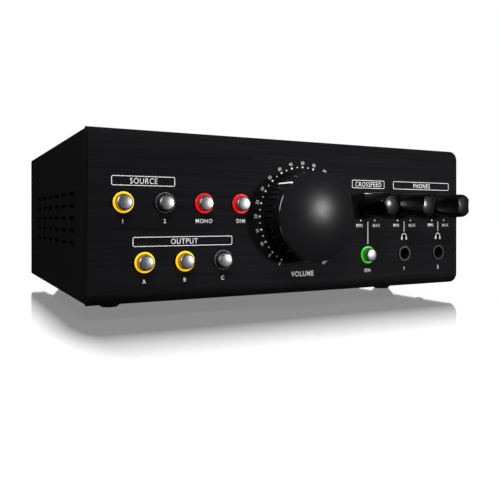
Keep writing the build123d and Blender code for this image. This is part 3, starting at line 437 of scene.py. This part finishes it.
# The two unlit rings are painted near-black inside for the shade there, and a painted grey
# highlight runs round the outer corner of each face.
unlit_ring_painted_light, tree, shader = new_finish("unlit_polycarbonate_painted_shade_and_edge_highlight", Roughness=0.16, IOR=1.58,
                                  Coat_Weight=0.3)
place = add_node(tree, "ShaderNodeTexCoord")
flat = add_node(tree, "ShaderNodeVectorMath", {0: place.outputs["Object"]}, {1: (1, 0, 1)},
                operation="MULTIPLY")
reach = []
for name in ("source_2_cap", "output_c_cap"):
    low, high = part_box(name)
    reach.append(add_node(tree, "ShaderNodeVectorMath", {0: flat.outputs["Vector"]},
                          {1: ((low.x + high.x) / 2, 0, (low.z + high.z) / 2)},
                          operation="DISTANCE"))
nearest = add_node(tree, "ShaderNodeMath", {0: reach[0].outputs["Value"],
                                            1: reach[1].outputs["Value"]}, operation="MINIMUM")
ring_r = 4.6 * mm               # at the face; a wider collar holds the ring from behind
# Painted highlight: grey only along the outer corner of the face, with painted near-black shade
# within it.
corner = add_node(tree, "ShaderNodeMapRange", {"Value": nearest.outputs[0]},
                  {"From Min": ring_r - 0.5 * mm, "From Max": ring_r - 0.3 * mm})
tone = add_node(tree, "ShaderNodeMix", {"Factor": corner.outputs["Result"]},
                {"A": linear("#040404"), "B": linear("#6E6F72")}, data_type="RGBA")
tree.links.new(tone.outputs["Result"], shader.inputs["Base Color"])
dress(unlit_ring_painted_light, "unlit_light_rings")

# ---------------------------------------------------------------- button caps
# Injection-moulded ABS, sprayed with silver lacquer under a clear coat. Each slides in
# its ring and springs back.
silver, tree, shader = new_finish("silver_lacquered_abs", Metallic=0.9, Roughness=0.37)
place = add_node(tree, "ShaderNodeTexCoord")
# Metal flake in the lacquer, really 0.02 mm, is drawn 0.15 mm across.
flake = add_node(tree, "ShaderNodeTexVoronoi", {"Vector": place.outputs["Object"]},
                 {"Scale": 1 / (0.15 * mm)})
tone = add_node(tree, "ShaderNodeMix", {"Factor": flake.outputs["Distance"]},
                {"A": linear("#B6B7BA"), "B": linear("#9E9FA2")}, data_type="RGBA")
tree.links.new(tone.outputs["Result"], shader.inputs["Base Color"])
caps = [name for name in nodes if name.endswith("_cap")]
dress(silver, *caps)

# ---------------------------------------------------------------- volume knob
# A moulded ABS cup with a soft-touch paint that scatters light: ribs round the rear half
# of its side give grip. It is pushed on the flat of the potentiometer's shaft.
soft_touch, tree, shader = new_finish("soft_touch_painted_abs")
place = add_node(tree, "ShaderNodeTexCoord")
# The paint dries with a bloom of hairline pores, drawn 0.25 mm apart.
pores = add_node(tree, "ShaderNodeTexNoise", {"Vector": place.outputs["Object"]},
                 {"Scale": 1 / (0.25 * mm), "Detail": 2.0})
tone = add_node(tree, "ShaderNodeMix", {"Factor": pores.outputs["Fac"]},
                {"A": linear("#18181A"), "B": linear("#1D1D20")}, data_type="RGBA")
tree.links.new(tone.outputs["Result"], shader.inputs["Base Color"])
relief = add_node(tree, "ShaderNodeBump", {"Height": pores.outputs["Fac"]},
                  {"Strength": 0.12, "Distance": 0.02 * mm})
tree.links.new(relief.outputs["Normal"], shader.inputs["Normal"])
# The rounded rim is drawn glossier than the face, back to where the ribs begin, so that the
# card on the left shows in it.
knob_low, knob_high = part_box("volume_knob")
knob_middle = (knob_low + knob_high) / 2
knob_r = (knob_high.x - knob_low.x) / 2
rim_w = 1.3 * mm
rim_back = 3.5 * mm
spread = add_node(tree, "ShaderNodeVectorMath", {0: place.outputs["Object"]},
                  {1: knob_middle}, operation="SUBTRACT")
level = add_node(tree, "ShaderNodeVectorMath", {0: spread.outputs["Vector"]},
                 {1: (1, 0, 1)}, operation="MULTIPLY")
reach = add_node(tree, "ShaderNodeVectorMath", {0: level.outputs["Vector"]}, operation="LENGTH")
near_side = add_node(tree, "ShaderNodeMapRange", {"Value": reach.outputs["Value"]},
                     {"From Min": knob_r - rim_w, "From Max": knob_r - 0.5 * rim_w})
axes = add_node(tree, "ShaderNodeSeparateXYZ", {"Vector": place.outputs["Object"]})
near_face = add_node(tree, "ShaderNodeMapRange", {"Value": axes.outputs["Y"]},
                     {"From Min": knob_low.y + rim_back, "From Max": knob_low.y + 1.3 * rim_back,
                      "To Min": 1.0, "To Max": 0.0})
rim = add_node(tree, "ShaderNodeMath", {0: near_side.outputs["Result"],
                                        1: near_face.outputs["Result"]}, operation="MULTIPLY")
for socket, on_face, on_rim in (("Specular IOR Level", 0.08, 0.8), ("Roughness", 0.22, 0.12)):
    gloss = add_node(tree, "ShaderNodeMapRange", {"Value": rim.outputs[0]},
                     {"To Min": on_face, "To Max": on_rim})
    tree.links.new(gloss.outputs["Result"], shader.inputs[socket])
dress(soft_touch, "volume_knob")

# ---------------------------------------------------------------- small knobs
# Moulded from glossy black ABS, with a finger scoop in each side, and pushed on like the
# large one.
glossy, tree, shader = new_finish("moulded_gloss_black_abs", Roughness=0.36,
                                  Specular_IOR_Level=0.1, Coat_Weight=0.22, Coat_Roughness=0.12)
place = add_node(tree, "ShaderNodeTexCoord")
# Flow marks from the mould gate: broad faint waves, 6 mm across.
flow = add_node(tree, "ShaderNodeTexNoise", {"Vector": place.outputs["Object"]},
                {"Scale": 1 / (6 * mm), "Detail": 1.0, "Distortion": 0.6})
tone = add_node(tree, "ShaderNodeMix", {"Factor": flow.outputs["Fac"]},
                {"A": linear("#08080A"), "B": linear("#101012")}, data_type="RGBA")
tree.links.new(tone.outputs["Result"], shader.inputs["Base Color"])
dress(glossy, "crossfeed_knob", "phones_1_knob", "phones_2_knob", "power_rocker")

# ---------------------------------------------------------------- sockets and inlet
# Moulded glass-filled nylon, matt with a light grain, nutted or clipped to their panels.
nylon = speckled("moulded_grey_nylon", "#141515", "#202122", 0.35 * mm, Roughness=0.28)
dark_nylon = speckled("moulded_black_nylon", "#0F0F10", "#1C1C1D", 0.35 * mm, Roughness=0.42)
dress(nylon, "headphone_sockets")
dress(dark_nylon, "rear_sockets", "power_inlet", "power_switch_housing")

# ---------------------------------------------------------------- white print
# Pad-printed white ink, a film 0.03 mm thick, cured on the anodised face: the volume
# scale, the label frames and words, and the signs. The lines on the knobs are filled with
# the like.
ink, tree, shader = new_finish("white_pad_ink", Roughness=0.45, Emission_Strength=0.12)
place = add_node(tree, "ShaderNodeTexCoord")
# The pad leaves the film a little thinner in spots about 0.4 mm across.
thin = add_node(tree, "ShaderNodeTexNoise", {"Vector": place.outputs["Object"]},
                {"Scale": 1 / (0.4 * mm), "Detail": 2.0})
tone = add_node(tree, "ShaderNodeMix", {"Factor": thin.outputs["Fac"]},
                {"A": linear("#ECECEA"), "B": linear("#FCFCFA")}, data_type="RGBA")
tree.links.new(tone.outputs["Result"], shader.inputs["Base Color"])
# A trace of emission keeps the print white in the shade.
tree.links.new(tone.outputs["Result"], shader.inputs["Emission Color"])
dress(ink, "volume_pointer")

# The front end of each small knob's line is drawn dark, so that the white stops short of
# the rounded front.
dark_end = 2.4 * mm
white_start = 3.4 * mm
line_ink, tree, shader = new_finish("white_line_ink", Roughness=0.4)
place = add_node(tree, "ShaderNodeTexCoord")
axes = add_node(tree, "ShaderNodeSeparateXYZ", {"Vector": place.outputs["Object"]})
small_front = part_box("phones_1_knob")[0].y
kept = add_node(tree, "ShaderNodeMapRange", {"Value": axes.outputs["Y"]},
                {"From Min": small_front + dark_end, "From Max": small_front + white_start})
tone = add_node(tree, "ShaderNodeMix", {"Factor": kept.outputs["Result"]},
                {"A": linear("#0C0C0E"), "B": linear("#F4F4F2")}, data_type="RGBA")
tree.links.new(tone.outputs["Result"], shader.inputs["Base Color"])
dress(line_ink, "crossfeed_pointer", "phones_1_pointer", "phones_2_pointer")

film = 0.03 * mm
sunk = 0.01 * mm                # the film's back reaches this far into the panel
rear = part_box("rear_panel")[1].y
middle_z = sum(corner.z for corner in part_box("front_panel")) / 2
panel_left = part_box("front_panel")[0].x


def join_place(piece, place, turns):
    """Turns and moves a piece, and joins that to its mesh."""
    piece.rotation_euler = turns
    piece.location = place
    bpy.ops.object.select_all(action="DESELECT")
    piece.select_set(True)
    bpy.context.view_layer.objects.active = piece
    bpy.ops.object.transform_apply(location=True, rotation=True, scale=True)
    return piece


def lay_flat(piece, x, z, turn=0.0, on_rear=False):
    """Stands a flat piece drawn on the ground up against the front or the rear panel.
    turn is clockwise as seen from the front."""
    return join_place(piece, (x, rear + film if on_rear else front - film, z),
                      (radians(90), radians(turn), pi if on_rear else 0))


capital = 0.69                  # height of a capital, of the typeface's own size
letter_pitch = 1.14             # of the typeface's own


def flat_word(text, height, squeeze=0.86, bold=0.01):
    """A word drawn on the ground about its middle, with capitals of that height. squeeze
    narrows the letters, and bold thickens their strokes."""
    bpy.ops.object.select_all(action="DESELECT")
    bpy.ops.object.text_add()
    piece = bpy.context.object
    piece.data.body = text
    piece.data.align_x = "CENTER"
    piece.data.offset = bold
    piece.data.space_character = letter_pitch
    piece.data.resolution_u = 4
    bpy.ops.object.convert(target="MESH")
    piece = bpy.context.object
    piece.scale = (height / capital * squeeze, height / capital, 1)
    bpy.ops.object.transform_apply(location=False, rotation=False, scale=True)
    piece.location = (0, -height / 2, 0)
    bpy.ops.object.transform_apply(location=True, rotation=False, scale=False)
    return piece


def word(text, x, z, height, squeeze=0.86, bold=0.01, turn=0.0, on_rear=False):
    return lay_flat(flat_word(text, height, squeeze, bold), x, z, turn, on_rear)


def dot(radius, x, z):
    bpy.ops.object.select_all(action="DESELECT")
    bpy.ops.mesh.primitive_circle_add(vertices=14, radius=radius, fill_type="NGON")
    return lay_flat(bpy.context.object, x, z)


def plate(width, height):
    """A flat rectangle drawn on the ground about its middle."""
    bpy.ops.object.select_all(action="DESELECT")
    bpy.ops.mesh.primitive_plane_add(size=1)
    piece = bpy.context.object
    piece.scale = (width, height, 1)
    bpy.ops.object.transform_apply(location=False, rotation=False, scale=True)
    return piece


def frame_line(x, z, width, height, line, corner):
    """A rounded rectangle drawn in line."""
    piece = plate(width, height)
    bpy.ops.object.mode_set(mode="EDIT")
    bpy.ops.mesh.select_all(action="SELECT")
    bpy.ops.mesh.bevel(offset=corner, segments=4, affect="VERTICES")
    bpy.ops.mesh.select_all(action="SELECT")
    bpy.ops.mesh.inset(thickness=line, depth=0)
    bpy.ops.mesh.delete(type="FACE")
    bpy.ops.object.mode_set(mode="OBJECT")
    return lay_flat(piece, x, z)


def cured(name, pieces, body="case"):
    """Joins flat print into one piece, and gives it the film's thickness and its ink."""
    bpy.ops.object.select_all(action="DESELECT")
    for piece in pieces:
        piece.select_set(True)
    bpy.context.view_layer.objects.active = pieces[0]
    if len(pieces) > 1:
        bpy.ops.object.join()
    piece = bpy.context.object
    piece.name = name
    thick = piece.modifiers.new("film", "SOLIDIFY")
    thick.thickness = film + sunk
    thick.offset = -1
    bpy.ops.object.modifier_apply(modifier=thick.name)
    piece.data.materials.clear()
    piece.data.materials.append(ink)
    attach(piece, body)
    return piece


# The volume scale: a large dot every five of a hundred, over 300 degrees, and a small one
# between each two.
scale_r = 24.6 * mm
number_r = 26.75 * mm
number_h = 1.5 * mm
large_dot_r = 0.5 * mm
small_dot_r = 0.32 * mm
scale_dots = 41
first_turn = -150               # degrees from upright
dot_turn = 7.5
large_dots = []
small_dots = []
numbers = []
for i in range(scale_dots):
    turn = first_turn + dot_turn * i
    x = sin(radians(turn))
    z = cos(radians(turn))
    if i % 2:
        small_dots.append(dot(small_dot_r, scale_r * x, middle_z + scale_r * z))
    else:
        large_dots.append(dot(large_dot_r, scale_r * x, middle_z + scale_r * z))
        numbers.append(word(str(i * 5 // 2), number_r * x, middle_z + number_r * z, number_h,
                            bold=0.0, turn=turn))
cured("volume_scale_dots", large_dots + small_dots)
cured("volume_scale_numbers", numbers)

# Label frames, each with its word, over the groups of controls: the left and right ends in
# mm from the panel's left end, and the height in mm above its middle.
line = 0.3 * mm
frame_h = 4.3 * mm
frame_corner = 0.8 * mm
frame_word_h = 2.45 * mm
frames = {
    "SOURCE": (9.9, 38.8, 15.4),
    "OUTPUT": (19.3, 67.4, -11.2),
    "CROSSFEED": (137.6, 159.4, 17.2),
    "PHONES": (165.6, 207.1, 17.2),
}
frame_pieces = []
frame_words = []
for text, (left, right, height) in frames.items():
    x = panel_left + (left + right) / 2 * mm
    z = middle_z + height * mm
    frame_pieces.append(frame_line(x, z, (right - left) * mm, frame_h, line, frame_corner))
    frame_words.append(word(text, x, z, frame_word_h, bold=0.0))
cured("label_frames", frame_pieces)
cured("label_frame_words", frame_words)

# A word or number under each button, socket and the volume knob.
under_upper = middle_z - 2.2 * mm
under_lower = middle_z - 28.6 * mm
caption_h = 1.8 * mm
caption_shift = 0.3 * mm        # to the left of the button's middle
volume_word_h = 2.5 * mm
captions = {
    "source_1_cap": ("1", under_upper), "source_2_cap": ("2", under_upper),
    "mono_cap": ("MONO", under_upper), "dim_cap": ("DIM", under_upper),
    "output_a_cap": ("A", under_lower), "output_b_cap": ("B", under_lower),
    "output_c_cap": ("C", under_lower), "crossfeed_on_cap": ("ON", under_lower),
}
caption_pieces = []
for name, (text, z) in captions.items():
    low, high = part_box(name)
    caption_pieces.append(word(text, (low.x + high.x) / 2 - caption_shift, z, caption_h,
                               squeeze=0.95, bold=0.022))
phones_x = [sum(corner.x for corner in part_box(name + "_shaft")) / 2
            for name in ("phones_1", "phones_2")]
for text, x in zip(("1", "2"), phones_x):
    caption_pieces.append(word(text, x, under_lower, caption_h, bold=0.025))
caption_pieces.append(word("VOLUME", 0, under_lower, volume_word_h, bold=0.02))
cured("control_captions", caption_pieces)

# Under each small knob: end dots, MIN and MAX, and a line down to what it sets.
crossfeed_x = sum(corner.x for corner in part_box("crossfeed_shaft")) / 2
small_z = sum(corner.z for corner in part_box("crossfeed_shaft")) / 2
end_dot_r = 0.45 * mm
end_r = 9.3 * mm                # of the end dots round the knob's middle
end_turn = radians(30)          # from straight down
range_word_h = 1.75 * mm
range_word_x = 5.7 * mm         # from the knob's middle
range_word_drop = 4.75 * mm     # below the panel's middle
stem_w = 0.5 * mm
stem_top = -2.7                 # mm above the panel's middle, as is each stem's lower end
range_marks = []
for x, stem_end in ((crossfeed_x, -14.6), (phones_x[0], -8.2), (phones_x[1], -8.2)):
    for side, text in ((-1, "MIN"), (1, "MAX")):
        range_marks.append(dot(end_dot_r, x + side * end_r * sin(end_turn),
                               small_z - end_r * cos(end_turn)))
        range_marks.append(word(text, x + side * range_word_x, middle_z - range_word_drop,
                                range_word_h, bold=0.012))
    range_marks.append(lay_flat(plate(stem_w, (stem_top - stem_end) * mm), x,
                                middle_z + (stem_top + stem_end) / 2 * mm))
cured("range_marks", range_marks)


# Headphone signs: half a ring for the bow, with a rounded cup at each end.
sign_drop = 10.9 * mm           # below the panel's middle
stroke = 0.45 * mm
bow_r = 1.85 * mm
bow_end = 0.2 * mm              # the bow reaches this far below its middle
cup_w = 1.0 * mm
cup_h = 1.7 * mm
cup_corner = 0.35 * mm
cup_drop = 1.0 * mm


def headphone_sign(x, z):
    bpy.ops.object.select_all(action="DESELECT")
    bpy.ops.mesh.primitive_circle_add(vertices=24, radius=bow_r, fill_type="NGON")
    bow = bpy.context.object
    bpy.ops.object.mode_set(mode="EDIT")
    bpy.ops.mesh.select_all(action="SELECT")
    bpy.ops.mesh.inset(thickness=stroke, depth=0)
    bpy.ops.mesh.delete(type="FACE")
    bpy.ops.mesh.select_all(action="SELECT")
    bpy.ops.mesh.bisect(plane_co=(0, -bow_end, 0), plane_no=(0, 1, 0), clear_inner=True)
    bpy.ops.object.mode_set(mode="OBJECT")
    pieces = [lay_flat(bow, x, z)]
    for side in (-1, 1):
        cup = plate(cup_w, cup_h)
        bpy.ops.object.mode_set(mode="EDIT")
        bpy.ops.mesh.select_all(action="SELECT")
        bpy.ops.mesh.bevel(offset=cup_corner, segments=3, affect="VERTICES")
        bpy.ops.object.mode_set(mode="OBJECT")
        pieces.append(lay_flat(cup, x + side * (bow_r - stroke / 2), z - cup_drop))
    return pieces


signs = []
for x in phones_x:
    signs += headphone_sign(x, middle_z - sign_drop)
cured("headphone_signs", signs)

# On the rear panel, a heading over each pair of sockets, L and R beside them, and a word
# over each of the other fittings.
upper_z = 44.8 * mm
lower_z = 24.8 * mm
first_pair_x = -85              # mm, as is the pitch
pair_pitch = 21
head_rise = 10.2 * mm
letter_shift = 10.5 * mm
fitting_rise = 4.5 * mm
rear_word_h = 1.9 * mm
heads = ("SOURCE 1", "SOURCE 2", "OUTPUT A", "OUTPUT B", "OUTPUT C")
rear_pieces = []
for i, text in enumerate(heads):
    x = (first_pair_x + pair_pitch * i) * mm
    rear_pieces.append(word(text, x, upper_z + head_rise, rear_word_h, on_rear=True))
    for side, z in (("L", upper_z), ("R", lower_z)):
        rear_pieces.append(word(side, x + letter_shift, z, rear_word_h, on_rear=True))
for name, text in (("usb_socket", "DATA"), ("power_inlet", "DC IN"),
                   ("power_switch_housing", "POWER")):
    low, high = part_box(name)
    rear_pieces.append(word(text, (low.x + high.x) / 2, high.z + fitting_rise, rear_word_h,
                            on_rear=True))
cured("rear_legends", rear_pieces)

# On the two halves of the rocker, I for on and O for off, square to its tilted faces.
rocker_low, rocker_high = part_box("power_rocker")
rocker_middle = (rocker_low + rocker_high) / 2
mark_rise = 4.6 * mm
mark_h = 2.8 * mm
stand_off = 10 * mm             # of the ray's start, behind the rocker
rocker_marks = []
for text, rise in (("I", mark_rise), ("O", -mark_rise)):
    start = (rocker_middle.x, rocker_high.y + stand_off, rocker_middle.z + rise)
    _, place, facing, _ = nodes["power_rocker"].ray_cast(start, (0, -1, 0))
    rocker_marks.append(join_place(flat_word(text, mark_h), place + film * facing,
                                   (radians(90) - atan2(facing.z, facing.y), 0, pi)))
cured("rocker_marks", rocker_marks, "power_rocker")
